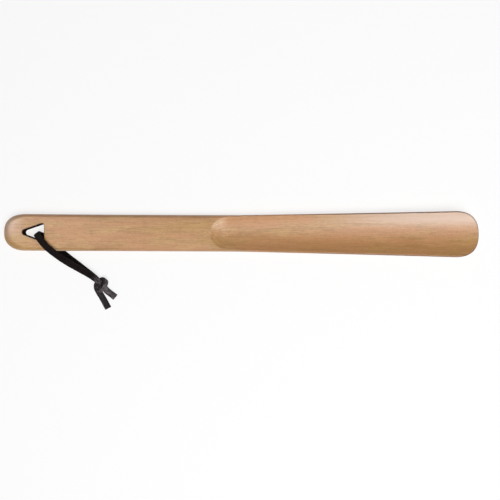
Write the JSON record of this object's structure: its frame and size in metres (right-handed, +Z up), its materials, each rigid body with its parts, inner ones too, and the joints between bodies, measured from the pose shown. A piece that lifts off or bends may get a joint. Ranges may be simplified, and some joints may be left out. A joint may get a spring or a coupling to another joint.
{
  "type": "long shoehorn",
  "caption": "Long wooden shoehorn with a flat rounded handle, a scooped horn and a knotted flat leather lace through a triangular hanging hole.",
  "frame": {"origin": "centre of the wooden piece's bounding box in plan, on the surface that its flat back rests on", "axes": "+X from the handle's rounded end to the horn's tip, +Y across the width, +Z up, out of the scooped side"},
  "size_m": [0.3682, 0.0783, 0.0141],
  "materials": {
    "beech_wood": "fine-grained beech, sanded smooth, thin satin lacquer",
    "lace_leather": "black-brown flat leather lace, satin grain side, cut edges"
  },
  "bodies": {
    "shoehorn": {"shoehorn_body": "beech_wood"},
    "strap": {"strap_front_strand": "lace_leather", "strap_back_strand": "lace_leather", "strap_knot": "lace_leather", "strap_tail_upper": "lace_leather", "strap_tail_lower": "lace_leather"}
  },
  "joints": [
    {"name": "strap_swing", "type": "hinge", "parent": "shoehorn", "child": "strap", "pos_m": [-0.1572, -0.0016, 0.007], "axis": [0, 0, 1], "range_deg": [-280, 0]}
  ]
}
